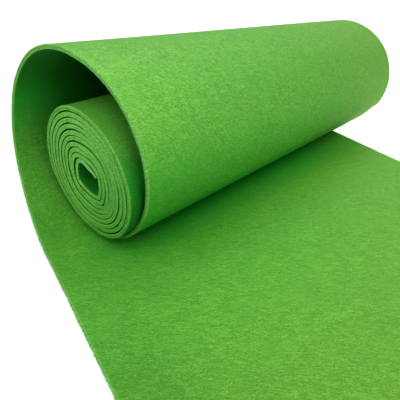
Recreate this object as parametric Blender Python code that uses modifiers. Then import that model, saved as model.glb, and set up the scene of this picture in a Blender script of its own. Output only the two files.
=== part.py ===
"""A length of thick needled felt, part unrolled.

The strip lies flat on the surface, runs under its own roll, comes up at the back as one
loose lap, goes over the top and down the front, tucks in under the coil and winds inward
to a free end in the coil's eye. The roll lies along X. The flat end runs towards -Y.

The felt's middle surface is worked out as two winding lines, one along each long edge of
the strip, with straight lines ruled across from one to the other. Solidify then gives it
its thickness. Units are metres, +Z is up, and the underside of the felt is at z = 0.
"""
import math

import bpy
import numpy as np

# The cloth
FELT = 0.003            # thickness of the felt
STRIP = 0.3456          # width of the strip across its two long edges
FLAT_RUN = 0.220        # flat cloth in front of the roll, along its near edge
SKEW = math.radians(12.55)  # how far the flat cloth lies askew to the roll
SKEW_RUN = 0.420            # length of lap over which the skew would be taken up

# The loose lap, outside measure, at the near end (-X) and at the far end (+X)
LAP_HEIGHT = (0.1360, 0.1160)
LAP_DEPTH = (0.1310, 0.1116)
LAP_SHIFT = (0.0, 0.0063)   # towards the back
# Slow waves that make the lap's section less than a true oval: (times round, cosine, sine)
LAP_WAVES = ((2, -0.010, -0.018), (3, 0.010, 0.001), (4, 0.005, -0.004))

# The coil, at the middle of the felt, at the near end and at the far end
COIL_HALF_DEPTH = (0.0519, 0.0484)
COIL_HALF_HEIGHT = (0.0474, 0.0469)
COIL_CENTRE_Y = (-0.0056, 0.0025)
COIL_END_X = 0.0362         # where the coil's near end stands
EYE_HALF_DEPTH = 0.0118
EYE_HALF_HEIGHT = 0.0094
EYE_OFFSET = (-0.0018, -0.0010)   # eye from the coil's centre, (y, z)
EYE_SQUARENESS = 0.8        # 0 is an oval eye, more is a squarer one
EYE_TILT = math.radians(4)
SEAT_GAP = 0.0004           # between the coil and the flat cloth under it
TURNS = 9.72                # from the tuck to the free inner end
FLAP_TURN = 0.30            # how much of the last turn hangs free as a flap
FLAP_DROP = 0.0020          # how far the flap's end stands off the turn outside it

# Where the lap leaves its oval and joins the coil, as angles of the lap and of the coil
TUCK_LAP = (math.radians(300), math.radians(347))
TUCK_COIL = (math.radians(19), math.radians(80))

# Middle of the footprint, from where the near edge leaves the surface, (x, y)
FOOT_CENTRE = (0.17314, -0.11172)

# How finely the winding is stepped
FLAT_STEPS = 4
LAP_STEPS = 40
TUCK_STEPS = 9
SETTLE_STEPS = 9            # rows past the tuck until the strip's edges are square
STEPS_PER_TURN = 36
ACROSS = 2                  # strips from the near edge to the far edge


def smooth(q):
    """0 up to 1 with no slope at either end."""
    q = np.clip(q, 0.0, 1.0)
    return q * q * (3 - 2 * q)


def lap_line(angle, end):
    """Middle of the felt on the lap's oval. The angle starts under the roll and goes
    up the back, over the top and down the front. end is 0 for near, 1 for far."""
    radius = np.ones_like(angle)
    for times, cosine, sine in LAP_WAVES:
        radius += cosine * np.cos(times * angle) + sine * np.sin(times * angle)
    half_depth = (LAP_DEPTH[end] - FELT) / 2
    half_height = (LAP_HEIGHT[end] - FELT) / 2
    y = LAP_SHIFT[end] + half_depth * radius * np.sin(angle)
    z = -half_height * radius * np.cos(angle)
    lowest = -half_height * (1 + sum(wave[1] for wave in LAP_WAVES))
    return y, z - lowest + FELT / 2


def coil_line(angle, end):
    """Middle of the felt in the coil. The angle starts at the front and goes down, so
    the cloth runs under the coil, up its back and over. Each turn is nearer the eye."""
    inward = (angle - TUCK_COIL[1]) / (2 * math.pi * TURNS)
    half_depth = COIL_HALF_DEPTH[end] + (EYE_HALF_DEPTH - COIL_HALF_DEPTH[end]) * inward
    half_height = COIL_HALF_HEIGHT[end] + (EYE_HALF_HEIGHT - COIL_HALF_HEIGHT[end]) * inward
    squared = np.clip(inward, 0, 1) ** 2
    power = 2 + EYE_SQUARENESS * squared
    tilt = angle - EYE_TILT * squared
    across = np.abs(np.cos(tilt)) / half_depth
    upright = np.abs(np.sin(tilt)) / half_height
    radius = (across ** power + upright ** power) ** (-1 / power)
    flap = smooth(1 - (1 - inward) * TURNS / FLAP_TURN)
    radius = radius - FLAP_DROP * flap
    centre_z = FELT + SEAT_GAP + FELT / 2 + COIL_HALF_HEIGHT[end]
    y = COIL_CENTRE_Y[end] + EYE_OFFSET[0] * inward - radius * np.cos(angle)
    z = centre_z + EYE_OFFSET[1] * inward - radius * np.sin(angle)
    return y, z


def section(end):
    """The winding seen from one end: rows of (y, z), from under the roll to the eye."""
    lap_angle = np.linspace(0, TUCK_LAP[0], LAP_STEPS + 1)[:-1]
    share = np.linspace(0, 1, TUCK_STEPS + 1)[:-1]
    lap = lap_line(lap_angle, end)
    outer = lap_line(TUCK_LAP[0] + (TUCK_LAP[1] - TUCK_LAP[0]) * share, end)
    inner = coil_line(TUCK_COIL[0] + (TUCK_COIL[1] - TUCK_COIL[0]) * share, end)
    tuck = [a + (b - a) * smooth(share) for a, b in zip(outer, inner)]
    steps = round(TURNS * STEPS_PER_TURN)
    coil = coil_line(TUCK_COIL[1] + np.linspace(0, 2 * math.pi * TURNS, steps + 1), end)
    return np.array([np.concatenate(run) for run in zip(lap, tuck, coil)]).T


def squared_up(rows):
    """0 on the lap, rising to 1 where the coil has taken the strip's edges square."""
    return smooth((np.arange(rows) - LAP_STEPS) / (TUCK_STEPS + SETTLE_STEPS))


def edge_places(near):
    """How far along X the strip's near edge has come, for each row of the winding. It
    climbs askew round the lap and comes square to the roll where the coil begins."""
    steps = np.hypot(*np.diff(near, axis=0).T)
    run = np.concatenate(([0.0], np.cumsum(steps)))
    askew = math.tan(SKEW) * (run - run ** 2 / (2 * SKEW_RUN))
    return askew + (COIL_END_X - askew) * squared_up(len(run))


def edge_lines():
    """The strip's near and far long edges, as rows of (x, y, z)."""
    near, far = section(0), section(1)
    x = edge_places(near)
    shrink = LAP_HEIGHT[1] / LAP_HEIGHT[0]
    on_floor = STRIP / math.cos(SKEW)
    far_lap = on_floor + shrink * x + LAP_SHIFT[1] * math.tan(SKEW)
    far_x = far_lap + (x + STRIP - far_lap) * squared_up(len(x))
    near = np.column_stack((x, near))
    far = np.column_stack((far_x, far))

    # The flat cloth: a straight cut end, square to the strip's edges
    along = np.array((-math.sin(SKEW), -math.cos(SKEW), 0.0))
    across = np.array((math.cos(SKEW), -math.sin(SKEW), 0.0))
    cut_near = near[0] + FLAT_RUN * along
    cut_far = cut_near + STRIP * across
    share = np.linspace(0, 1, FLAT_STEPS + 1)[:-1, None]
    near = np.vstack((cut_near + (near[0] - cut_near) * share, near))
    far = np.vstack((cut_far + (far[0] - cut_far) * share, far))
    return near, far


def middle_surface():
    """Ruled lines across the strip, as a grid of points and its faces."""
    near, far = edge_lines()
    share = np.linspace(0, 1, ACROSS + 1)[None, :, None]
    grid = near[:, None, :] + (far - near)[:, None, :] * share
    rows, columns = grid.shape[:2]
    index = np.arange(rows * columns).reshape(rows, columns)
    faces = np.stack((index[:-1, :-1], index[:-1, 1:], index[1:, 1:], index[1:, :-1]), axis=-1)
    return grid.reshape(-1, 3), faces.reshape(-1, 4)


def felt_material():
    """Matt green felt."""
    material = bpy.data.materials.new("green_felt")
    material.use_nodes = True
    surface = material.node_tree.nodes["Principled BSDF"]
    surface.inputs["Base Color"].default_value = (0.115, 0.400, 0.050, 1.0)
    surface.inputs["Roughness"].default_value = 0.95
    surface.inputs["Metallic"].default_value = 0.0
    return material


def felt_strip(collection):
    """The whole strip as one piece: the ruled middle surface with its thickness."""
    points, faces = middle_surface()
    mesh = bpy.data.meshes.new("felt_strip")
    mesh.from_pydata(points.tolist(), [], faces.tolist())
    mesh.shade_smooth()
    strip = bpy.data.objects.new("felt_strip", mesh)
    strip.location = (-FOOT_CENTRE[0], -FOOT_CENTRE[1], 0.0)
    collection.objects.link(strip)
    mesh.materials.append(felt_material())

    body = strip.modifiers.new("felt_thickness", "SOLIDIFY")
    body.thickness = FELT
    body.offset = 0.0
    body.use_even_offset = True
    body.use_rim = True
    return strip


def main():
    for old in list(bpy.data.objects):
        bpy.data.objects.remove(old, do_unlink=True)
    collection = bpy.data.collections.new("roll_of_felt")
    bpy.context.scene.collection.children.link(collection)
    felt_strip(collection)


main()
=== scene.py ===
# %% [markdown]
# # A part-unrolled length of thick green felt
# The object is one strip of needled felt. It lies flat at the front, runs under its own roll,
# comes up at the back as one loose lap, goes over the top and down the front, and then winds
# inward as a tight coil to a free end in the coil's eye.
# This script dresses the plain CAD solid. It starts by loading that solid as a fixed frame, so
# that every size below is in metres in the frame of the CAD, and nothing has to be fitted.

# %% The frame
import math

import bpy
import numpy as np
from mathutils import Matrix

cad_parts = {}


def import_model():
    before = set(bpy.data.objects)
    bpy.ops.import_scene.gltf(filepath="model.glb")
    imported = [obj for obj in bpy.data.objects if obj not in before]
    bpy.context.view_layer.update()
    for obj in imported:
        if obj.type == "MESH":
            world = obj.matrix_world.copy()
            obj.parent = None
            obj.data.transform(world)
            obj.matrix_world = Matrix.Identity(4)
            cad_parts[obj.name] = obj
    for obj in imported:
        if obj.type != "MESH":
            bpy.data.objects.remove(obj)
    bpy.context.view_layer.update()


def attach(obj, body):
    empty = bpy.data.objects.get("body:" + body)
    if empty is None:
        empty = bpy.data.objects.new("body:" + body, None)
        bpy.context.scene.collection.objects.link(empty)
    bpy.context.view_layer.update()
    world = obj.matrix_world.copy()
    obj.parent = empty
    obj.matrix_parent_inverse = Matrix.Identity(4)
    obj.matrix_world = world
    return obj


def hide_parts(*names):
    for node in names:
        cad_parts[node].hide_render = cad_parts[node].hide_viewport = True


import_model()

# %% [markdown]
# ## The sizes
# A pattern maker would write these on the drawing: how thick and wide the felt is, how far its
# flat end lies askew to the roll, and the outlines of the loose lap and of the coil at both ends
# of the roll. They are the same values as in the CAD source, written again here, because this
# script reads nothing but the frame.

# %% The cloth's sizes
FELT = 0.003                    # thickness of the felt
STRIP = 0.3456                  # width of the strip across its two long edges
FLAT_RUN = 0.220                # flat cloth in front of the roll, along its near edge
SKEW = math.radians(12.55)      # how far the flat cloth lies askew to the roll
SKEW_RUN = 0.420                # length of lap over which the skew would be taken up
FOOT_CENTRE = (0.17314, -0.11172)   # middle of the footprint, from where the lap begins

# %% The loose lap, at the near end and at the far end
LAP_HEIGHT = (0.1360, 0.1160)
LAP_DEPTH = (0.1310, 0.1116)
LAP_SHIFT = (0.0, 0.0063)       # towards the back
LAP_WAVES = ((2, -0.010, -0.018), (3, 0.010, 0.001), (4, 0.005, -0.004))  # times, cosine, sine
LAP_STEPS = 40                  # the CAD's rows of the lap, which the edges' places count in

# %% The coil, at the near end and at the far end
COIL_HALF_DEPTH = (0.0519, 0.0484)
COIL_HALF_HEIGHT = (0.0474, 0.0469)
COIL_CENTRE_Y = (-0.0056, 0.0025)
COIL_END_X = 0.0362             # where the coil's near end stands
EYE_HALF_DEPTH = 0.0118
EYE_HALF_HEIGHT = 0.0094
EYE_OFFSET = (-0.0018, -0.0010)     # eye from the coil's centre, (y, z)
EYE_SQUARENESS = 0.8            # 0 is an oval eye, more is a squarer one
EYE_TILT = math.radians(4)
SEAT_GAP = 0.0004               # between the coil and the flat cloth under it
TURNS = 9.72                    # from the tuck to the free inner end
FLAP_TURN = 0.30                # how much of the last turn hangs free as a flap
FLAP_DROP = 0.0020              # how far the flap's end stands off the turn outside it
TUCK_LAP = (math.radians(300), math.radians(347))   # where the lap leaves its oval
TUCK_COIL = (math.radians(19), math.radians(80))    # and where it has joined the coil
TUCK_STEPS = 9
SETTLE_STEPS = 9                # rows past the tuck until the strip's edges are square
STEPS_PER_TURN = 36
FULL_TURN = 2 * math.pi

# %% [markdown]
# ## Smooth steps
# Nearly everything below fades in and out somewhere: a swell on the loose lap, a gap in the
# coil, a paler top. Straight ramps would leave creases in the cloth and lines in its colour, so
# all of them are the same smooth step, with a place where it starts and a length that it takes.

# %% Smooth step
def smooth(share):
    """3 q squared less 2 q cubed: 0 up to 1 with no slope at either end."""
    q = np.clip(share, 0.0, 1.0)
    return q * q * (3 - 2 * q)


def after(value, start, rise):
    """0 until the value is at start, then a smooth step up to 1 over rise."""
    return smooth((value - start) / rise)


def before(value, end, fall):
    """1, and then a smooth step down over fall, which is at 0 when the value is at end."""
    return smooth((end - value) / fall)


def between(value, start, rise, end, fall):
    """The step up from start over rise, times the step down over fall to end."""
    return after(value, start, rise) * before(value, end, fall)


print("a smooth step in quarters", after(np.linspace(0, 1, 5), 0.0, 1.0))

# %% [markdown]
# ## The winding as a function
# Seen from one end, the felt is one long line. A spiral whose radius shrinks evenly with the
# angle gives the coil, and a slightly wavy oval gives the lap. Where one turns into the other,
# the two lines are mixed with a smooth step, as the real cloth tucks in without a crease.
# A cloth simulation could roll up a flat strip too, but it would take minutes and would never
# end at these outlines, and here the outlines are known.
# The line's one parameter is called row here: 0 under the roll, 40 at the end of the lap, and
# then 36 for each turn of the coil.

# %% The lap's oval
def lap_line(angle, end):
    """Half depth times sine and half height times minus cosine of the angle, both times a
    radius near 1 that a few slow waves make uneven. The lowest point is put on the surface.
    end is 0 for the near end of the roll and 1 for the far end."""
    radius = np.ones_like(angle)
    for times, cosine, sine in LAP_WAVES:
        radius = radius + cosine * np.cos(times * angle) + sine * np.sin(times * angle)
    half_depth = (LAP_DEPTH[end] - FELT) / 2
    half_height = (LAP_HEIGHT[end] - FELT) / 2
    lowest = -half_height * (1 + sum(wave[1] for wave in LAP_WAVES))
    return (LAP_SHIFT[end] + half_depth * radius * np.sin(angle),
            FELT / 2 - lowest - half_height * radius * np.cos(angle))


# %% The coil's spiral
def coil_line(angle, end):
    """An oval whose half axes shrink evenly from the coil's to the eye's as the angle grows.
    The power in the oval's equation rises above 2 towards the eye, which squares it up, and
    over the last part of a turn the radius drops by the flap's stand-off."""
    inward = (angle - TUCK_COIL[1]) / (FULL_TURN * TURNS)
    half_depth = COIL_HALF_DEPTH[end] + (EYE_HALF_DEPTH - COIL_HALF_DEPTH[end]) * inward
    half_height = COIL_HALF_HEIGHT[end] + (EYE_HALF_HEIGHT - COIL_HALF_HEIGHT[end]) * inward
    squared = np.clip(inward, 0, 1) ** 2
    power = 2 + EYE_SQUARENESS * squared
    tilt = angle - EYE_TILT * squared
    radius = ((np.abs(np.cos(tilt)) / half_depth) ** power
              + (np.abs(np.sin(tilt)) / half_height) ** power) ** (-1 / power)
    radius = radius - FLAP_DROP * smooth(1 - (1 - inward) * TURNS / FLAP_TURN)
    centre_z = FELT + SEAT_GAP + FELT / 2 + COIL_HALF_HEIGHT[end]
    return (COIL_CENTRE_Y[end] + EYE_OFFSET[0] * inward - radius * np.cos(angle),
            centre_z + EYE_OFFSET[1] * inward - radius * np.sin(angle))


# %% The whole line
def coil_angle(row):
    """A full turn for every 36 rows, counted from the end of the tuck."""
    return TUCK_COIL[1] + FULL_TURN * (row - LAP_STEPS - TUCK_STEPS) / STEPS_PER_TURN


def section(row, end):
    """Lap, tuck or coil, whichever the row is in, as (y, z). The tuck mixes the lap's line
    carried on with the coil's line carried back, by a smooth step."""
    lap = lap_line(TUCK_LAP[0] * row / LAP_STEPS, end)
    share = np.clip((row - LAP_STEPS) / TUCK_STEPS, 0, 1)
    outer = lap_line(TUCK_LAP[0] + (TUCK_LAP[1] - TUCK_LAP[0]) * share, end)
    inner = coil_line(TUCK_COIL[0] + (TUCK_COIL[1] - TUCK_COIL[0]) * share, end)
    coil = coil_line(np.maximum(coil_angle(row), TUCK_COIL[1]), end)
    line = []
    for on_lap, a, b, on_coil in zip(lap, outer, inner, coil):
        tuck = a + (b - a) * smooth(share)
        line.append(np.where(row < LAP_STEPS, on_lap,
                             np.where(row < LAP_STEPS + TUCK_STEPS, tuck, on_coil)))
    return np.stack(line, axis=-1)


# %% [markdown]
# ## The strip's two long edges
# A strip of cloth can be laid out as two lines with straight threads between them. Its edges
# climb askew round the loose lap and stand square to the roll in the coil, as in the photograph,
# so the near and the far line each get an x as well. Stations are then spaced evenly along the
# cloth, so that one step of the grid is the same length of felt everywhere.

# %% The edge lines, stepped finely
FINE = 24                       # fine steps for each of the CAD's rows
LAST_ROW = LAP_STEPS + TUCK_STEPS + round(TURNS * STEPS_PER_TURN)


def run_of(line):
    """How far along a line each of its points lies: the sum of the steps before it."""
    steps = np.sqrt((np.diff(line, axis=0) ** 2).sum(axis=1))
    return np.concatenate(([0.0], np.cumsum(steps)))


def edge_lines(row):
    """Near and far edge as rows of (x, y, z). The near edge's x grows with the tangent of the
    skew and levels off, and is mixed into the coil's square end by a smooth step."""
    near, far = section(row, 0), section(row, 1)
    squared_up = after(row, LAP_STEPS, TUCK_STEPS + SETTLE_STEPS)
    run = run_of(near)
    askew = math.tan(SKEW) * (run - run ** 2 / (2 * SKEW_RUN))
    x = askew + (COIL_END_X - askew) * squared_up
    far_lap = (STRIP / math.cos(SKEW) + LAP_HEIGHT[1] / LAP_HEIGHT[0] * x
               + LAP_SHIFT[1] * math.tan(SKEW))
    far_x = far_lap + (x + STRIP - far_lap) * squared_up
    return np.column_stack((x, near)), np.column_stack((far_x, far))


rows = np.linspace(0, LAST_ROW, LAST_ROW * FINE + 1)
near_edge, far_edge = edge_lines(rows)
wound_run = run_of((near_edge + far_edge) / 2)
print("felt in the roll", round(float(wound_run[-1]), 3), "m")

# %% Even stations along the whole strip
STATION = 0.00132               # one step of the grid along the cloth
CUT_ROUND = 0.0008              # how far in from a cut the felt's corners are rounded
CUT_STEPS = (0.0, 0.15, 0.5)    # extra stations there, as shares of that length
ALONG = np.array((-math.sin(SKEW), -math.cos(SKEW), 0.0))
ACROSS = np.array((math.cos(SKEW), -math.sin(SKEW), 0.0))
LENGTH = FLAT_RUN + float(wound_run[-1])

cut_steps = CUT_ROUND * np.array(CUT_STEPS)
even_steps = np.linspace(CUT_ROUND, LENGTH - CUT_ROUND, round(LENGTH / STATION))
along = np.concatenate((cut_steps, even_steps, LENGTH - cut_steps[::-1]))
station_row = np.interp(along - FLAT_RUN, wound_run, rows)


def place(edge, start):
    """The edge's point at every station: on the flat cloth, a straight line back from where
    the lap begins; in the roll, read off the finely stepped line."""
    wound = np.column_stack([np.interp(station_row, rows, edge[:, i]) for i in range(3)])
    back = np.clip(FLAT_RUN - along, 0, None)[:, None]
    flat = edge[0] + (start - edge[0]) * back / FLAT_RUN
    return np.where(back > 0, flat, wound)


cut_near = near_edge[0] + FLAT_RUN * ALONG
near_line = place(near_edge, cut_near)
far_line = place(far_edge, cut_near + STRIP * ACROSS)
print("stations", len(along), "strip", round(LENGTH, 3), "m long")

# %% Where each station lies in the roll
turn = coil_angle(station_row) / FULL_TURN      # turns wound so far, whole at the front
turns_left = turn.max() - turn                  # and turns still to go to the inner end
lap_degrees = np.degrees(TUCK_LAP[0]) * station_row / LAP_STEPS     # degrees round the lap
in_coil = after(station_row, LAP_STEPS + TUCK_STEPS, SETTLE_STEPS)
in_lap = 1 - in_coil
past_flat = along > FLAT_RUN


def bump(middle, width):
    """1 at one side of the coil, in turns round from the front, falling smoothly to 0."""
    away = np.abs((turn - middle + 0.5) % 1.0 - 0.5)
    return smooth(1 - away / width)


print("stations on the lap", int((past_flat & (in_lap > 0)).sum()), "in the coil",
      int((in_coil > 0).sum()))

# %% [markdown]
# ## Unevenness that the real cloth has
# Real felt is never quite true. A turn of the coil stands a hair prouder than the next, one gap
# in the coil is wider than the others, a few inner turns have a slight corner, and the loose
# lap has long soft swells. Pulling at points by hand would do that, but it couldn't be changed
# later. So each of these is a small push of the middle line along its own normal, which points
# into the roll, and the random ones are smooth waves with a fixed seed.

# %% Smooth random waves
chance = np.random.default_rng(20)


def wander(where, reach, size):
    """Random heights every reach metres, joined by smooth steps: a soft line that wanders
    either side of 0 by about size."""
    knots = where / reach - np.floor(where.min() / reach)
    first = np.floor(knots).astype(int)
    heights = chance.normal(0.0, size, first.max() + 2)
    return heights[first] + (heights[first + 1] - heights[first]) * smooth(knots - first)


# %% Pushes on the coil
# Each has a size in metres. SIDE is where round the coil it is: its middle and half its width,
# in turns from the front. TURNS is which turns have it: from, growing over, until, fading over.
COIL_WAVES = (0.022, 0.00008)   # small waves everywhere: every 22 mm, by 0.08 mm
CRESCENT = 0.00035              # the wide gap at the upper back, inside the fourth turn
CRESCENT_SIDE, CRESCENT_TURNS = (0.66, 0.19), (4.0, 0.3, 9.0, 4.0)
FRONT_GAP = 0.00032             # the long gap at the front, inside the third turn
FRONT_GAP_SIDE, FRONT_GAP_TURNS = (0.05, 0.20), (3.5, 0.2, 8.5, 4.0)
CORNER = 0.00095                # the corner that the inner turns have at the lower front
CORNER_SIDE, CORNER_TURNS = (0.115, 0.050), (4.5, 3.0, 9.6, 0.4)
EYE_CORNER = 0.00060            # the eye's own corner at the lower back
EYE_CORNER_SIDE, EYE_CORNER_TURNS = (0.42, 0.060), (8.6, 0.5)
FLAP_TOUCH, FLAP_TOUCH_TURNS = 0.00150, 0.09    # the flap's end swings back by this
FLAP_BOW, FLAP_BOW_TURNS = 0.00025, 0.14        # and its middle stands off by this more

push = in_coil * wander(along, *COIL_WAVES)
push += CRESCENT * bump(*CRESCENT_SIDE) * between(turn, *CRESCENT_TURNS)
push += FRONT_GAP * bump(*FRONT_GAP_SIDE) * between(turn, *FRONT_GAP_TURNS)
push -= CORNER * bump(*CORNER_SIDE) * between(turn, *CORNER_TURNS)
push -= EYE_CORNER * bump(*EYE_CORNER_SIDE) * after(turn, *EYE_CORNER_TURNS)
push -= FLAP_TOUCH * smooth(1 - turns_left / FLAP_TOUCH_TURNS)
push += FLAP_BOW * smooth(1 - np.abs(turns_left - FLAP_BOW_TURNS) / FLAP_BOW_TURNS)
print("pushes on the coil, mm", np.round(1000 * np.array((push.min(), push.max())), 2))

# %% Where the loose lap stands off its oval
# Its two ends were lined up with the photograph's outline, and these are what was left over.
# Each has a size, and degrees round the lap: from, growing over, until, fading over.
TOP_RISE, TOP_RISE_AT = 0.0017, (95, 55, 250, 45)       # arches up at the near end
FRONT_SINK, FRONT_SINK_AT = 0.0016, (225, 45, 360, 60)  # draws in low at the front
FAR_BULGE, FAR_BULGE_AT = 0.0011, (245, 25, 308, 15)    # bulges there at the far end
FAR_TUCK, FAR_TUCK_AT = 0.0012, (298, 15, 350, 25)      # and draws in below that
LONG_SWELLS = (0.085, 0.00045)  # swells all across: every 85 mm, by 0.45 mm
SIDE_SWELLS = (0.060, 0.00035)  # swells that go one way near and the other way far
SWELLS_ALONG = (FLAT_RUN + 0.02, 0.08)  # they grow from here on along the cloth, over this

rising = between(lap_degrees, *TOP_RISE_AT)
sinking = between(lap_degrees, *FRONT_SINK_AT) * in_lap
far_bulging = between(lap_degrees, *FAR_BULGE_AT)
far_tucking = between(lap_degrees, *FAR_TUCK_AT)
swelling = after(along, *SWELLS_ALONG) * in_lap


def swells(side):
    """Long waves along the cloth, with side times the one-way waves."""
    return swelling * (wander(along, *LONG_SWELLS) + side * wander(along, *SIDE_SWELLS))


# %% [markdown]
# ## The profile carried along the strip
# Across its width the felt is a very flat bar with cut edges. A Solidify modifier could give a
# sheet its thickness, but its rim would be sharp and even. So the profile is a row of places
# across the strip, with a share of the half thickness at each. At the cut the corners are
# rounded, and the cut face itself is upright. Places are close together near the edges, where
# the camera sees the cut felt, and far apart in between.

# %% The profile
CUT_PLACES = np.array((0.0, 0.0, 0.10, 0.32, 0.7)) / 1000   # in from a cut, in metres
CUT_SHARES = np.array((0.16, 0.52, 0.80, 0.95, 1.0))
OPEN_PLACES = np.array((1.9, 4.5, 10.0, 22.0, 45.0, 80.0, 125.0, 175.0, 225.0, 268.0, 303.0,
                        326.0, 338.0, 343.5)) / 1000
across = np.concatenate((CUT_PLACES, OPEN_PLACES, STRIP - CUT_PLACES[::-1]))
shares = np.concatenate((CUT_SHARES, np.ones(len(OPEN_PLACES)), CUT_SHARES[::-1]))
far_share = across / STRIP      # 0 at the near edge, 1 at the far one
places = len(across)
print("places across", places)

# %% The middle surface and its normals
t = far_share[None, :, None]
middle = near_line[:, None, :] * (1 - t) + far_line[:, None, :] * t
lengthwise = np.gradient(middle, along, axis=0)
crosswise = (far_line - near_line)[:, None, :] * np.ones_like(t)
unit_across = crosswise / np.linalg.norm(crosswise, axis=2, keepdims=True)
normal = np.cross(crosswise, lengthwise)
normal /= np.linalg.norm(normal, axis=2, keepdims=True)

one_way = np.cos(math.pi * far_share)[None, :]
lift = push[:, None] + swells(0.0)[:, None] + one_way * swells(1.0)[:, None]
lift += FRONT_SINK * sinking[:, None] - TOP_RISE * rising[:, None] * (1 - far_share)[None, :]
lift += (FAR_TUCK * far_tucking - FAR_BULGE * far_bulging)[:, None] * far_share[None, :] ** 2
print("normal at the first station", np.round(normal[0, 0], 3))

# %% The cut edges: telescoped turns, splayed and rough
EDGE_WAVES = ((0.045, 0.00028), (0.012, 0.00028 / 3))   # the cut wanders: every, and by
COIL_PROUD, COIL_PROUD_IN = 0.0009, 0.012   # the coil's near end stands out, fading inwards
LAP_PROUD, LAP_PROUD_IN = 0.0024, 0.09      # and so does the far end of the lap's
LAP_PROUD_AT = (110, 60)        # top and front: from and over, in degrees round the lap
ROUGH, ROUGH_IN = 0.00009, 0.001    # how rough the cut is, and how far in from it
SPLAY, SPLAY_IN = 0.03, 0.004   # how much the felt springs open at a cut, and how far in
COIL_SPLAY = 0.015              # how much more it does so in the coil
FRONT_SPLAY, FRONT_SPLAY_SIDE = 0.09, (0.93, 0.30)  # and more again at its upper front
TOP_SPLAY, TOP_SPLAY_SIDE = 0.12, (0.74, 0.25)      # and at its top
LOW_SPLAY, LOW_SPLAY_SIDE = 0.07, (0.24, 0.18)      # and at its bottom

from_cut = np.minimum(across, STRIP - across)[None, :]
at_cut = smooth(1 - from_cut / SPLAY_IN)
edge_out = at_cut * sum(wander(along, *wave) for wave in EDGE_WAVES)[:, None]
edge_out = edge_out + (COIL_PROUD * in_coil[:, None]
                       * smooth(1 - across / COIL_PROUD_IN)[None, :])
lap_out = after(lap_degrees, *LAP_PROUD_AT) * in_lap
edge_out = edge_out + (LAP_PROUD * lap_out[:, None]
                       * smooth(1 - (STRIP - across) / LAP_PROUD_IN)[None, :])
splay = SPLAY + in_coil * (COIL_SPLAY + FRONT_SPLAY * bump(*FRONT_SPLAY_SIDE)
                           + TOP_SPLAY * bump(*TOP_SPLAY_SIDE)
                           + LOW_SPLAY * bump(*LOW_SPLAY_SIDE))
print("splay at the cuts, from and to", round(splay.min(), 3), round(splay.max(), 3))

# %% The thickness at every point
THICK_WAVES = (0.015, 0.018)    # the thickness wanders: every 15 mm, by 1.8 percent
END_TAPER, END_TAPER_RUN = 0.35, 0.010  # how much thinner the inner end is, and over what
END_LEAST = 0.45                # share of the thickness right at the strip's two cut ends

thick = FELT / 2 * (1 + wander(along, *THICK_WAVES)[:, None] + splay[:, None] * at_cut)
thick *= 1 - END_TAPER * after(along, LENGTH - END_TAPER_RUN, END_TAPER_RUN)[:, None]
from_end = np.minimum(along, LENGTH - along)
end_round = np.sqrt(1 - (1 - np.clip(from_end / CUT_ROUND, 0, 1)) ** 2)
end_share = END_LEAST + (1 - END_LEAST) * end_round
half = thick * shares[None, :] * end_share[:, None]
print("thickness, mm", np.round(2000 * np.array((half.min(), half.max())), 2))

# %% Both faces together, as one closed loop round the strip
out_way = np.where(across < STRIP / 2, -1.0, 1.0)[None, :]


def face(sign):
    """The middle surface pushed by its unevenness, plus or minus half the thickness along the
    normal, and pushed out at the cuts."""
    rough = chance.normal(0.0, 1.0, (len(along), places)) * ROUGH * (from_cut < ROUGH_IN)
    away = (lift + sign * half + rough / 2)[..., None]
    out = ((edge_out + rough) * out_way)[..., None]
    points = middle + normal * away + unit_across * out
    points[..., :2] -= FOOT_CENTRE
    return points


upper, lower = face(1.0), face(-1.0)
lower[~past_flat, :, 2] = np.maximum(lower[~past_flat, :, 2], 0.0)
loop = np.concatenate((upper, lower[:, ::-1]), axis=1)
print("loop", loop.shape, "lowest", round(float(loop[..., 2].min()), 5))

# %% [markdown]
# ## Into the mesh
# The loop at each station and the loop at the next make a ring of four-sided faces, and a strip
# of faces closes each cut end. The UV map is in metres of cloth, across and along, so that a
# pattern keeps its size and follows the felt round the lap and the coil. An unwrapped map would
# have seams here and there, and this one has them only on the cuts.

# %% Faces
around = loop.shape[1]
index = np.arange(loop.shape[0] * around).reshape(-1, around)
ring = np.roll(index, -1, axis=1)
sides = np.stack((index[:-1], ring[:-1], ring[1:], index[1:]), axis=-1).reshape(-1, 4)


def cap(row):
    """A strip of faces from the upper half of a loop to the lower half, mirrored."""
    top, bottom = row[:places], row[places:][::-1]
    return np.stack((top[:-1], bottom[:-1], bottom[1:], top[1:]), axis=-1)


faces = np.concatenate((sides, cap(index[0]), cap(index[-1])[:, ::-1]))
print("faces", len(faces), "triangles", 2 * len(faces))

# %% The map
# The first half of a loop's points is the upper face, which is the inward one in the roll. The
# second half is the lower face, read backwards, which is the outward one.
loop_across = np.concatenate((across, across[::-1]))
loop_far_share = loop_across / STRIP
inward_face = np.arange(around) < places
cloth_map = np.stack(np.broadcast_arrays(loop_across[None, :], along[:, None]), axis=-1)
print("map", cloth_map.shape)

# %% [markdown]
# ## Marks on the cloth
# One length of felt isn't one green, and some of its greens are painted light and shade. Where it
# is shut in, between the turns, inside the loose lap and under the roll's front, only light from
# the felt beside it reaches it, so a deeper green is painted there as painted shade. Parts of its
# top and a few open places are painted paler, as painted light, and a few shaded places darker,
# as painted shade. The flat end in front is duller, and the far side more olive. The cuts are
# crumbly, and painted dimmer, as painted shade, where they look away from the light.
# A painted picture could show that, but it would be tied to one view and one size. So each of
# these is a mark: a number at each point of the mesh, which the finish reads by name. It comes
# from where the point lies along the strip in metres, round the lap in degrees, in the coil in
# turns, and across the strip in metres.

# %% Marks of the cuts
CUT_IN = 0.0012                 # how far in from a cut its finish reaches
FLAP_LOOSE = (0.32, 0.06)       # the flap is loose over the last turns, growing over these
CUT_SHADE_SIDE = (0.05, 0.28)         # the side of the coil where the cut gets painted shade
BACK_RIM_AT = (50, 30, 170, 50)     # and where the loose lap's cut gets it, at its back

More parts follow.
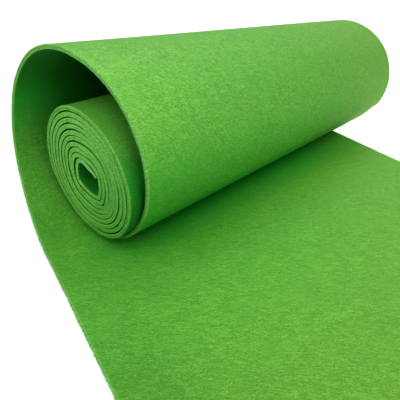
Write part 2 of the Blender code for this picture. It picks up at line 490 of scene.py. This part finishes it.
loop_cut = smooth(1 - np.minimum(loop_across, STRIP - loop_across) / CUT_IN)
cut_mark = np.maximum(loop_cut[None, :], smooth(1 - from_end / CUT_IN)[:, None])
flap = before(turns_left, *FLAP_LOOSE)
loose_mark = np.maximum(in_lap, 2 * flap)[:, None] * np.ones(around)
back_rim = between(lap_degrees, *BACK_RIM_AT)
# Painted shade on the cuts that look away from the light: one side of the coil and the back of
# the loose lap.
cut_shade_mark = np.maximum(in_coil * bump(*CUT_SHADE_SIDE) * (1 - flap), back_rim)[:, None] * np.ones(around)
print("points on a cut", int((cut_mark > 0).sum()), "of", cut_mark.size)

# %% Mark of the painted shade: the inward face
# Painted shade, a deeper green: 0 is open to the light, 1 is shut in, and 2 is deep between the
# turns.
LAP_INSIDE, LAP_INSIDE_AT = 1.62, (72, 62)      # painted shade in the lap's inside, from and over in degrees
COIL_INSIDE = 1.05              # the coil's
INNER_LEAST, INNER_BACK = 0.45, 0.55            # more in the inner turns, and more at the back
INNER_FROM, INNER_SIDE = (1.1, 0.2), (0.5, 0.3)
LAST_TURN, LAST_OPEN = (1.15, 0.1), 0.3         # but less in the last one, round the eye
UNDER_ALONG = (0.158, 0.04, 0.245, 0.02)        # painted shadow on the flat cloth under the roll's front
UNDER_FROM = (0.036, 0.02)      # from and over across the strip
UNDER_FAR, UNDER_FAR_FROM = 0.6, (0.27, 0.05)   # how much less it is at the far end

last_turn = before(turns_left, *LAST_TURN)
inner_turns = (in_coil * after(turn, *INNER_FROM)
               * (INNER_LEAST + INNER_BACK * bump(*INNER_SIDE)))
shut_in = np.maximum(LAP_INSIDE * after(lap_degrees, *LAP_INSIDE_AT) * past_flat,
                     COIL_INSIDE * in_coil)
shut_in = shut_in + inner_turns * (1 - last_turn) - LAST_OPEN * last_turn
under_roll = (between(along, *UNDER_ALONG)[:, None]
              * (after(loop_across, *UNDER_FROM)
                 * (1 - UNDER_FAR * after(loop_across, *UNDER_FAR_FROM)))[None, :])
print("most shut in on the inward face", round(float(shut_in.max()), 2))

# %% Mark of the painted shade: the outward face
# Painted shade on the outward face, where the lap or a turn lies over it and shades it.
OUTER_TURN = 0.30               # the coil's outermost turn
COVERED, COVERED_FROM = 0.70, (0.87, 0.10)      # more where a turn lies over it
IN_GAP, GAP_TURNS = 0.75, (0.94, 0.12, 1.35, 0.12)  # and more in the gap at the front
LOW_FRONT, LOW_FRONT_FROM = 0.4, (245, 30)      # the loose lap, low at the front
TUCKED_FROM = (285, 30)         # and fully so where it tucks in
LOW_FRONT_FAR = 0.95            # how much less both are at the far end

covered = in_coil * (OUTER_TURN + COVERED * after(turn, *COVERED_FROM)
                     + IN_GAP * between(turn, *GAP_TURNS))
low_front = in_lap * np.maximum(LOW_FRONT * after(lap_degrees, *LOW_FRONT_FROM),
                                after(lap_degrees, *TUCKED_FROM))
low_front = low_front[:, None] * (1 - LOW_FRONT_FAR * loop_far_share)[None, :]
# Both faces together: where the painted shade goes, and how deep.
painted_shade_mark = np.where(inward_face, np.maximum(shut_in[:, None], under_roll),
                       np.maximum((covered + inner_turns)[:, None], low_front))
print("inside, from and to", np.round((painted_shade_mark.min(), painted_shade_mark.max()), 2))

# %% Mark of the painted light and shade: the outward face
# Painted light and shade: how much lighter the felt is painted than its middle green, and how
# much darker where the value is below 0.
LIGHT_TOP_NEAR, LIGHT_TOP_FAR = 0.34, -0.14       # painted light on the lap's top, at its near and its far end
TOP_AT = (150, 60, 290, 60)
LIGHT_FRONT, FRONT_FROM = 0.24, (235, 40)    # painted light on its front, lower down
FRONT_NEAR = 0.35               # share of that at the near end
LIGHT_COIL_TOP, COIL_TOP_TURNS = 1.10, (0.45, 0.15, 0.98, 0.15)  # painted light on the top of the coil

to_far = np.sqrt(loop_far_share)[None, :]
lap_top = (between(lap_degrees, *TOP_AT) * in_lap)[:, None]
lap_front = (after(lap_degrees, *FRONT_FROM) * in_lap)[:, None]
coil_top = (in_coil * between(turn, *COIL_TOP_TURNS))[:, None]
outward_painted_light = (lap_top * (LIGHT_TOP_NEAR + (LIGHT_TOP_FAR - LIGHT_TOP_NEAR) * to_far)
                + LIGHT_FRONT * lap_front * (FRONT_NEAR + (1 - FRONT_NEAR) * to_far)
                + LIGHT_COIL_TOP * coil_top)
print("fade outward, from and to", np.round((outward_painted_light.min(), outward_painted_light.max()), 2))

# %% Mark of the painted light and shade: the inward face and the flat end
LIGHT_BACK, BACK_AT = 0.12, (18, 25, 90, 35)     # painted light on the lap's inside, low at the back
LIGHT_OPEN, OPEN_ALONG = 0.24, (0.188, 0.02, 0.255, 0.02)    # painted light in front of the coil's end
OPEN_MIDDLE, OPEN_HALF = 0.034, 0.028           # and where across the strip that is
SHADE_FAR_CORNER, SHADE_FROM = -0.30, (0.145, 0.03)   # painted shadow in the far corner where it meets the roll
SHADE_ACROSS, SHADE_UNTIL = (0.26, 0.04), 60    # across the strip, and in degrees
SHADE_NEAR_CORNER, CORNER_UNTIL = -0.72, (0.16, 0.14)     # painted shade in the near corner of the flat end
CORNER_IN = 0.06                # how far across the strip that reaches

low_back = between(lap_degrees, *BACK_AT) * past_flat
open_near = smooth(1 - np.abs(loop_across - OPEN_MIDDLE) / OPEN_HALF)
far_shade = after(along, *SHADE_FROM) * (lap_degrees < SHADE_UNTIL)
corner = before(along, *CORNER_UNTIL)
inward_painted_light = (LIGHT_BACK * low_back[:, None]
               + LIGHT_OPEN * between(along, *OPEN_ALONG)[:, None] * open_near[None, :]
               + SHADE_FAR_CORNER * far_shade[:, None] * after(loop_across, *SHADE_ACROSS)[None, :]
               + SHADE_NEAR_CORNER * corner[:, None] * smooth(1 - loop_across / CORNER_IN)[None, :])
# Both faces together: the painted light, and below 0 the painted shade.
painted_light_mark = np.where(inward_face, inward_painted_light, outward_painted_light)
print("fade inward, from and to", np.round((inward_painted_light.min(), inward_painted_light.max()), 2))

# %% Marks of the olive far side, the duller flat end and the wound part
OLIVE_FROM = (0.12, 0.2)        # across the strip
FLAT_END_UNTIL = (0.14, 0.13)        # along the strip
WOUND_FROM = (FLAT_RUN - 0.02, 0.03)    # along the strip

olive_mark = after(loop_across, *OLIVE_FROM) * np.ones((len(along), 1))
flat_end_mark = before(along, *FLAT_END_UNTIL)[:, None] * np.ones(around)
wound_mark = after(along, *WOUND_FROM)[:, None] * np.ones(around)
print("wound share of the strip", round(float(wound_mark.mean()), 3))


# %% A helper that makes a piece from arrays
def mesh_piece(name, points, face_sets, material, uv=None, marks=()):
    """Points and faces into a mesh at the origin, with its map and marks point by point."""
    mesh = bpy.data.meshes.new(name)
    polygons = [corners for face_set in face_sets for corners in face_set.tolist()]
    mesh.from_pydata(points.reshape(-1, 3).tolist(), [], polygons)
    if uv is not None:
        layer = mesh.uv_layers.new(name="cloth")
        corner = np.empty(len(mesh.loops), dtype=np.int32)
        mesh.loops.foreach_get("vertex_index", corner)
        layer.data.foreach_set("uv", uv.reshape(-1, 2)[corner].astype(np.float32).ravel())
    for mark, values in marks:
        attribute = mesh.attributes.new(mark, "FLOAT", "POINT")
        attribute.data.foreach_set("value", values.astype(np.float32).ravel())
    mesh.materials.append(material)
    mesh.shade_smooth()
    piece = bpy.data.objects.new(name, mesh)
    bpy.context.scene.collection.objects.link(piece)
    return piece


# %% [markdown]
# ## Shader maths
# A material is a small sum on the surface. Wrapping a node's socket in a class with operators
# lets that sum be written as Python, and each operator adds its Math node. Colours are mixed
# with Mix nodes, because a Math node would turn them grey.

# %% A socket with operators
class Socket:
    """A node's output, which can be added, taken away and multiplied."""

    def __init__(self, tree, output):
        self.tree, self.output = tree, output

    def node(self, kind, settings=(), out=0, **values):
        """Adds a node of a kind: its settings first, then a value or link for each socket,
        whose name is written with _ for a space, or as i and its number."""
        made = self.tree.nodes.new(kind)
        for name, value in dict(settings).items():
            setattr(made, name, value)
        for name, value in values.items():
            by_number = name[0] == "i" and name[1:].isdigit()
            socket = made.inputs[int(name[1:]) if by_number else name.replace("_", " ")]
            if isinstance(value, Socket):
                self.tree.links.new(value.output, socket)
            else:
                socket.default_value = value
        return Socket(self.tree, made.outputs[out])

    def maths(self, operation, a, b=0.0):
        """One Math node."""
        return self.node("ShaderNodeMath", {"operation": operation}, i0=a, i1=b)

    def __add__(self, other):
        return self.maths("ADD", self, other)

    def __radd__(self, other):
        return self.maths("ADD", other, self)

    def __sub__(self, other):
        return self.maths("SUBTRACT", self, other)

    def __rsub__(self, other):
        return self.maths("SUBTRACT", other, self)

    def __mul__(self, other):
        return self.maths("MULTIPLY", self, other)

    def __rmul__(self, other):
        return self.maths("MULTIPLY", other, self)

    def ramp(self, low, high, to_low=0.0, to_high=1.0):
        """Straight from to_low at low to to_high at high, and level outside."""
        return self.node("ShaderNodeMapRange", {"clamp": True}, Value=self, From_Min=low,
                         From_Max=high, To_Min=to_low, To_Max=to_high)

    def mix(self, first, second):
        """The first colour at 0 and the second at 1."""
        return self.node("ShaderNodeMix", {"data_type": "RGBA"}, out=2,
                         i0=self, i6=first, i7=second)


# %% Starting and ending a finish
def new_finish(name):
    """An empty material, and a socket of its tree for the first node to come from."""
    material = bpy.data.materials.new(name)
    material.use_nodes = True
    material.node_tree.nodes.clear()
    return material, Socket(material.node_tree, None)


def put_on(surface):
    """The shader becomes the surface of its material."""
    output = surface.tree.nodes.new("ShaderNodeOutputMaterial")
    surface.tree.links.new(surface.output, output.inputs["Surface"])


def read_mark(start, name):
    """The number that a piece has at each point under this name."""
    return start.node("ShaderNodeAttribute", {"attribute_name": name}, out="Fac")


# %% [markdown]
# ## The felt's finish
# Needled felt is a mat of crimped fibres. From a step away it shows short flecks, lighter and
# darker, a few millimetres long: combed one way on the flat cloth, and curlier on the wound
# part. Over them is a faint cloudiness. The nap is matt, but at a low angle it still catches
# light, which a rather strong and rough reflection stands for. The cut faces are crumbly,
# because the ends of the fibres show there. A weave or a plain noise would look like another
# cloth. So a fleck here is the thin ridge where a noise crosses its middle value, and the noise
# is stretched along the fibre.

# %% Colours
# The greens that the tone picks; the paler ones also carry painted light, and the darkest painted
# shade.
BODY_DARK = (0.102, 0.345, 0.042, 1.0)
BODY = (0.164, 0.452, 0.072, 1.0)
BODY_LIGHT = (0.246, 0.566, 0.110, 1.0)
BODY_PALE = (0.355, 0.690, 0.160, 1.0)
TONES = (0.1, 0.5, 0.9, 1.5)    # the tones at which those four stand
# Painted shade colours: a deeper green where the felt is shut in, and a dark one deep between the
# turns.
SHADE_GREEN = (0.008, 0.448, 0.060, 1.0)
SHADE_GREEN_SHARE = 0.7              # how far the painted shade goes towards that colour
SHADE_BETWEEN_TURNS = (0.020, 0.200, 0.022, 1.0)    # painted shade deep between the turns
OLIVE = (0.200, 0.392, 0.058, 1.0)
OLIVE_SHARE = 0.5               # how far the far side of the cloth goes towards that colour
# The flat end, darker and duller towards its cut.
FLAT_END_GREEN = (0.190, 0.330, 0.035, 1.0)
FLAT_END_SHARE = 0.44                # and how far the flat end does
CUT_DARK, CUT_LIGHT = (0.130, 0.382, 0.060, 1.0), (0.288, 0.598, 0.163, 1.0)    # in the coil
RIM_DARK, RIM_LIGHT = (0.155, 0.410, 0.080, 1.0), (0.292, 0.585, 0.182, 1.0)    # on the lap
PALE = (0.270, 0.540, 0.190, 1.0)       # the cut of the flap
# Painted shade on the cuts that look away from the light.
CUT_SHADED = (0.070, 0.330, 0.035, 1.0)
CUT_SHADE_SHARE = 0.42                # how far a cut in painted shade goes towards that colour

# %% Strands and grain
# A set of strands: degrees from the way across, length and width in metres, ridge, share.
CURLY = ((4, 0.0058, 0.0008, 0.12, 0.27), (30, 0.0052, 0.0008, 0.12, 0.28),
         (-28, 0.0046, 0.0008, 0.12, 0.15), (66, 0.0046, 0.0008, 0.12, 0.30))
COMBED = ((-32, 0.0080, 0.0017, 0.13, 0.4), (-20, 0.0056, 0.0014, 0.13, 0.3),
          (-46, 0.0056, 0.0014, 0.13, 0.3))
COARSE, COARSE_OLIVE = (-30, 0.0085, 0.0026, 0.13), 0.22    # one more set on the far side
# Each noise's scale, per metre, and the ramp that it goes through: from, to, and what to what.
GRAIN_SCALE, GRAIN_RAMP = 1200.0, (0.36, 0.64, -0.5, 0.5)
CLOUD_SCALE, CLOUD_RAMP = 70.0, (0.3, 0.7, 0.46, 0.54)
PATCH_SCALE, PATCH_RAMP = 38.0, (0.35, 0.65, 0.60, 0.95)
CRUMB_SCALE, CRUMB_RAMP = 900.0, (0.41, 0.59)
STRAND_RAMP, COARSE_RAMP = (0.1, 0.7, -0.5, 0.5), (0.0, 1.0, -0.5, 0.5)
# How strongly strands and grain show: everywhere, and how much more under each mark.
STRANDS_ALL, STRANDS_WOUND, STRANDS_OLIVE, STRANDS_FLAT_END = 0.42, 0.34, 0.20, 0.30
GRAIN_ALL, GRAIN_OLIVE, GRAIN_FLAT_END = 0.30, 0.20, 0.25
STRANDS_HIGH, GRAIN_HIGH = 0.6, 0.4     # their shares in the surface's height
BUMP_STRENGTH, BUMP_HEIGHT = 0.8, 0.0006
FELT_ROUGH, FELT_SHINE = 0.65, 0.9      # roughness and specular level


def flat_noise(start, place, scale, detail=2.0, roughness=0.5, distortion=0.0):
    """A noise of two dimensions on the cloth's own map."""
    return start.node("ShaderNodeTexNoise", {"noise_dimensions": "2D"}, Vector=place,
                      Scale=scale, Detail=detail, Roughness=roughness, Distortion=distortion)


def ridges(start, uv, degrees, length, width, ridge):
    """1 where a stretched and turned noise is at its middle, down to 0 at ridge from it."""
    turned = start.node("ShaderNodeMapping", {"vector_type": "TEXTURE"}, Vector=uv,
                        Rotation=(0, 0, math.radians(degrees)), Scale=(length, width, 1.0))
    noise = flat_noise(start, turned, 1.0, detail=1.0, roughness=0.6, distortion=0.6)
    return start.maths("ABSOLUTE", noise - 0.5).ramp(0.0, ridge, 1.0, 0.0)


def strand_sets(start, uv, sets):
    """Each set's ridges times its share, added up."""
    return sum(ridges(start, uv, *strand) * share for *strand, share in sets)


# %% The felt's material
def felt_finish(name):
    """The tone is strands, grain and a coarser set, times slow patches and one more than the size
    of the painted light and shade, plus clouds and the painted light and shade itself. It picks
    the body's green. The other marks then mix their colours over it, the painted shade among
    them."""
    material, start = new_finish(name)
    uv = start.node("ShaderNodeUVMap", {"uv_map": "cloth"})
    cut, loose, dim, painted_shade, painted_light, olive, flat_end, wound = (
        read_mark(start, mark)
        for mark in ("cut", "loose", "dim", "painted_shade", "painted_light", "olive", "flat_end", "wound"))

    curly, combed = strand_sets(start, uv, CURLY), strand_sets(start, uv, COMBED)
    strands = combed + wound * (curly - combed)
    grain = flat_noise(start, uv, GRAIN_SCALE, detail=1.0)
    coarse = ridges(start, uv, *COARSE).ramp(*COARSE_RAMP) * (olive * COARSE_OLIVE)
    strand_level = (STRANDS_ALL + wound * STRANDS_WOUND + olive * STRANDS_OLIVE
                    + flat_end * STRANDS_FLAT_END)
    grain_level = GRAIN_ALL + olive * GRAIN_OLIVE + flat_end * GRAIN_FLAT_END
    fine = strands.ramp(*STRAND_RAMP) * strand_level + grain.ramp(*GRAIN_RAMP) * grain_level
    fine = fine + coarse
    patches = flat_noise(start, uv, PATCH_SCALE).ramp(*PATCH_RAMP)
    clouds = flat_noise(start, uv, CLOUD_SCALE).ramp(*CLOUD_RAMP)
    # Painted light and shade lift the tone into the paler greens and lower it into the darker
    # ones, and strengthen the flecks there.
    tone = fine * patches * (start.maths("ABSOLUTE", painted_light) + 1.0) + clouds + painted_light

    body = BODY_DARK
    for low, high, greener in zip(TONES, TONES[1:], (BODY, BODY_LIGHT, BODY_PALE)):
        body = tone.ramp(low, high).mix(body, greener)
    body = (olive * OLIVE_SHARE).mix(body, OLIVE)
    body = (flat_end * FLAT_END_SHARE).mix(body, FLAT_END_GREEN)
    # Painted shade: a deeper green where the felt is shut in, and a dark one deep between the
    # turns.
    body = (painted_shade.ramp(0.0, 1.0) * SHADE_GREEN_SHARE).mix(body, SHADE_GREEN)
    body = painted_shade.ramp(1.0, 2.0).mix(body, SHADE_BETWEEN_TURNS)

    solid = start.node("ShaderNodeTexCoord", out="Object")
    crumbs = start.node("ShaderNodeTexNoise", Vector=solid, Scale=CRUMB_SCALE, Detail=3.0,
                        Roughness=0.65)
    crumbled = crumbs.ramp(*CRUMB_RAMP)
    edge = loose.ramp(0.0, 1.0).mix(crumbled.mix(CUT_DARK, CUT_LIGHT),
                                    crumbled.mix(RIM_DARK, RIM_LIGHT))
    edge = loose.ramp(1.0, 2.0).mix(edge, PALE)
    # Painted shade on the cuts that look away from the light.
    edge = (dim * CUT_SHADE_SHARE).mix(edge, CUT_SHADED)

    height = (strands * STRANDS_HIGH + grain * GRAIN_HIGH) * (1 - cut) + crumbs * cut
    bumped = start.node("ShaderNodeBump", Strength=BUMP_STRENGTH, Distance=BUMP_HEIGHT,
                        Height=height)
    put_on(start.node("ShaderNodeBsdfPrincipled", Base_Color=cut.mix(body, edge),
                      Roughness=FELT_ROUGH, Specular_IOR_Level=FELT_SHINE, Normal=bumped))
    return material


felt = felt_finish("green_felt")
print("nodes in the felt's finish", len(felt.node_tree.nodes))

# %% The cloth itself
cloth = mesh_piece("felt_cloth", loop, (faces,), felt, uv=cloth_map,
                   marks=(("cut", cut_mark), ("loose", loose_mark), ("painted_shade", painted_shade_mark),
                          ("dim", cut_shade_mark), ("painted_light", painted_light_mark), ("olive", olive_mark),
                          ("flat_end", flat_end_mark), ("wound", wound_mark)))
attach(cloth, "root")
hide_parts("felt_strip")
print("cloth", len(cloth.data.polygons), "faces")

# %% [markdown]
# ## Loose fibres along the cuts
# A cut through felt leaves the ends of its fibres standing out, and they blur the edge and half
# close the dark gaps between the turns of the coil. Hair particles could be grown there, but
# they aren't a mesh, and the export needs one. So each is a thin three-sided spike that leaves
# the cut, leans some way along or through the felt, and curls. They are made all at once, as
# arrays with one row for each fibre.

# %% Their sizes
FIBRE_LENGTH = (0.0005, 0.0017)
FIBRE_RADIUS = (0.00003, 0.00006)
FIBRE_TAPER = 0.67              # share of the radius that is gone at the tip
FIBRE_ROOT = 0.0001             # how deep in the cut a fibre starts
FIBRE_LEAN = 0.55               # sideways for each step outward, on average
FIBRE_CURL = 0.45               # how far the tip bends aside, as a share of the length
FIBRE_RINGS = np.array((0.0, 0.55, 1.0))
FIBRE_SIDES = 3
FRAME_LEAN = 0.3                # keeps the ring's own axes off the fibre's direction
COIL_FIBRES = 0.45              # how many stand out in the coil for each one on the lap
COIL_FIBRES_FROM = 1.3          # turns


def unit(vectors):
    """Each vector divided by its own length."""
    return vectors / np.linalg.norm(vectors, axis=-1, keepdims=True)


# %% The spikes
def fibres(first, second, outward, count):
    """A fibre starts at a random place between two lines of points and goes
    root + length (w direction + curl w squared side), for w from 0 to 1, with a radius that
    shrinks to a third. Returns its points, its faces and a random shade for each."""
    share = np.where(turn > COIL_FIBRES_FROM, COIL_FIBRES, 1.0)
    station = chance.choice(len(first), count, p=share / share.sum())
    through = chance.random((count, 1))
    root = first[station] * (1 - through) + second[station] * through
    thick_way = unit(first - second)[station]
    out_way = outward[station]
    long_way = np.cross(thick_way, out_way)
    lean = chance.normal(0.0, FIBRE_LEAN, (count, 2))
    way = unit(out_way + lean[:, :1] * thick_way + lean[:, 1:] * long_way)
    round_way = chance.random((count, 1)) * FULL_TURN
    side = np.cos(round_way) * thick_way + np.sin(round_way) * long_way
    length = chance.uniform(*FIBRE_LENGTH, (count, 1, 1))
    w = FIBRE_RINGS[None, :, None]
    spine = root[:, None] + length * (w * way[:, None] + FIBRE_CURL * w ** 2 * side[:, None])
    spine = spine - FIBRE_ROOT * out_way[:, None] * (1 - w)

    one = unit(np.cross(way, out_way + FRAME_LEAN * side))
    other = np.cross(way, one)
    corner = np.arange(FIBRE_SIDES) * FULL_TURN / FIBRE_SIDES
    spoke = np.cos(corner)[:, None] * one[:, None] + np.sin(corner)[:, None] * other[:, None]
    radius = chance.uniform(*FIBRE_RADIUS, (count, 1, 1, 1)) * (1 - FIBRE_TAPER * w[..., None])
    points = spine[:, :, None] + radius * spoke[:, None]

    rings = len(FIBRE_RINGS)
    index = np.arange(count * rings * FIBRE_SIDES).reshape(count, rings, FIBRE_SIDES)
    turned_on = np.roll(index, -1, axis=2)
    walls = np.stack((index[:, :-1], turned_on[:, :-1], turned_on[:, 1:], index[:, 1:]), axis=-1)
    shade = np.repeat(chance.random(count), rings * FIBRE_SIDES)
    return points, (walls.reshape(-1, 4), index[:, -1], index[:, 0, ::-1]), shade


# %% Their finish
def fibre_finish(name):
    """From the cut's dark to its light colour, by each fibre's own shade."""
    material, start = new_finish(name)
    put_on(start.node("ShaderNodeBsdfPrincipled",
                      Base_Color=read_mark(start, "shade").mix(RIM_DARK, RIM_LIGHT),
                      Roughness=FELT_ROUGH, Specular_IOR_Level=FELT_SHINE))
    return material


loose_fibre = fibre_finish("loose_fibre")

# %% Along the near edge and along the far edge
# Name, place across the strip, way out along it, and how many.
FIBRE_SETS = (("near_edge_fibres", 1, -1.0, 13500), ("far_edge_fibres", -2, 1.0, 8000))

for name, place_across, outwards, count in FIBRE_SETS:
    points, face_sets, shade = fibres(upper[:, place_across], lower[:, place_across],
                                      outwards * unit_across[:, 0], count)
    piece = mesh_piece(name, points, face_sets, loose_fibre, marks=(("shade", shade),))
    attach(piece, "root")
    piece.data.calc_loop_triangles()
    print(name, count, "fibres", len(piece.data.loop_triangles), "triangles")

# %% [markdown]
# ## The stage
# The photograph looks like one from a light tent: a white ground and hardly any shadow. So there
# is a pale floor that glows a little, a sky that fills from all round, and four very wide suns,
# one from each side, whose strengths set which side of the roll is lighter. Small lamps would
# be simpler to place, but they would throw hard shadows.

# %% Floor
FLOOR_HALF = 6.0
FLOOR_DROP = 0.0003             # the floor lies a hair under the felt
FLOOR_COLOUR = (0.34, 0.34, 0.34, 1.0)
FLOOR_GLOW = 0.46
FLOOR_ROUGH, FLOOR_SHINE = 0.9, 0.1
WHITE = (1.0, 1.0, 1.0, 1.0)

corners = np.array(((-1, -1, 0), (1, -1, 0), (1, 1, 0), (-1, 1, 0))) * FLOOR_HALF
corners[:, 2] = -FLOOR_DROP
paper, paper_start = new_finish("pale_paper")
put_on(paper_start.node("ShaderNodeBsdfPrincipled", Base_Color=FLOOR_COLOUR,
                        Roughness=FLOOR_ROUGH, Specular_IOR_Level=FLOOR_SHINE,
                        Emission_Color=WHITE, Emission_Strength=FLOOR_GLOW))
floor = mesh_piece("floor", corners, (np.array(((0, 1, 2, 3),)),), paper)
print("floor", 2 * FLOOR_HALF, "m wide")

# %% Sky
# The camera sees it as white, as the ground of the photograph is. The light that it gives is
# softer, so that the felt keeps its shades.
SKY_LIGHT, SKY_SEEN = 0.335, 1.0

world = bpy.data.worlds.new("light_tent")
bpy.context.scene.world = world
world.use_nodes = True
background = world.node_tree.nodes["Background"]
background.inputs["Color"].default_value = WHITE
seen = Socket(world.node_tree, None).node("ShaderNodeLightPath", out="Is Camera Ray")
world.node_tree.links.new(seen.ramp(0.0, 1.0, SKY_LIGHT, SKY_SEEN).output,
                          background.inputs["Strength"])

# %% Suns
SUN_SPREAD = math.radians(60)
SUNS = (("left", 0.62, (1.0, 0.0, -1.0)), ("front", 0.61, (0.0, 1.0, -1.0)),
        ("right", 0.29, (-1.0, 0.0, -1.0)), ("back", 0.43, (-0.7, -0.7, -1.0)))


def turned_to(right, up, back):
    """A turn whose own x, y and z point along three directions at right angles."""
    return Matrix(np.column_stack((right, up, back)).tolist()).to_4x4()


def soft_sun(name, strength, towards):
    """A sun so wide that it throws soft shadows. towards is the way its light goes."""
    lamp = bpy.data.lights.new(name, "SUN")
    lamp.energy, lamp.angle = strength, SUN_SPREAD
    holder = bpy.data.objects.new(name, lamp)
    back = -np.array(towards)
    back /= np.linalg.norm(back)
    right = np.cross((0.0, 1.0, 0.0), back)
    right /= np.linalg.norm(right)
    holder.matrix_world = turned_to(right, np.cross(back, right), back)
    bpy.context.scene.collection.objects.link(holder)


for sun in SUNS:
    soft_sun(*sun)
print("suns", len(SUNS), "strength together", round(sum(sun[1] for sun in SUNS), 2))

# %% [markdown]
# ## The camera
# The camera's place was worked out from the outlines in the photograph: it stands in front of
# the near end, 32 degrees above it, and looks along the diagonal between the roll and the flat
# end. Aiming it with a Track To constraint would be quicker to write, but that can't tilt it,
# and the photograph is tilted by 1.6 degrees. So its turn is built from three directions: the
# way it looks, its right and its up.

# %% Camera
CAMERA_PLACE = (-0.26281, -0.12889, 0.19352)
LOOK_ROUND, LOOK_DOWN, ROLL = (math.radians(d) for d in (44.9045, 31.9123, 1.6088))
IMAGE = 400                     # pixels a side
FOCAL = 428.53                  # in pixels
SENSOR = 36.0
CENTRE_OFF = (1.6, 0.5)         # how far the photograph's own centre lies off, in pixels
CLIP = (0.01, 30.0)

camera_data = bpy.data.cameras.new("photo_view")
camera_data.sensor_width = SENSOR
camera_data.lens = SENSOR * FOCAL / IMAGE
camera_data.shift_x, camera_data.shift_y = (value / IMAGE for value in CENTRE_OFF)
camera_data.clip_start, camera_data.clip_end = CLIP
camera = bpy.data.objects.new("photo_view", camera_data)
bpy.context.scene.collection.objects.link(camera)

forward = np.array((math.sin(LOOK_ROUND) * math.cos(LOOK_DOWN),
                    math.cos(LOOK_ROUND) * math.cos(LOOK_DOWN), -math.sin(LOOK_DOWN)))
level = np.array((math.cos(LOOK_ROUND), -math.sin(LOOK_ROUND), 0.0))
upright = np.cross(level, forward)
turned = turned_to(math.cos(ROLL) * level + math.sin(ROLL) * upright,
                   math.cos(ROLL) * upright - math.sin(ROLL) * level, -forward)
turned.translation = CAMERA_PLACE
camera.matrix_world = turned
bpy.context.scene.camera = camera
print("lens", round(camera_data.lens, 1), "mm")

# %% How light becomes colour
# The plain view keeps the green as it was mixed, and the high contrast gives the flecks and the
# gaps the bite that they have in the photograph.
bpy.context.scene.view_settings.view_transform = "Standard"
bpy.context.scene.view_settings.look = "Very High Contrast"
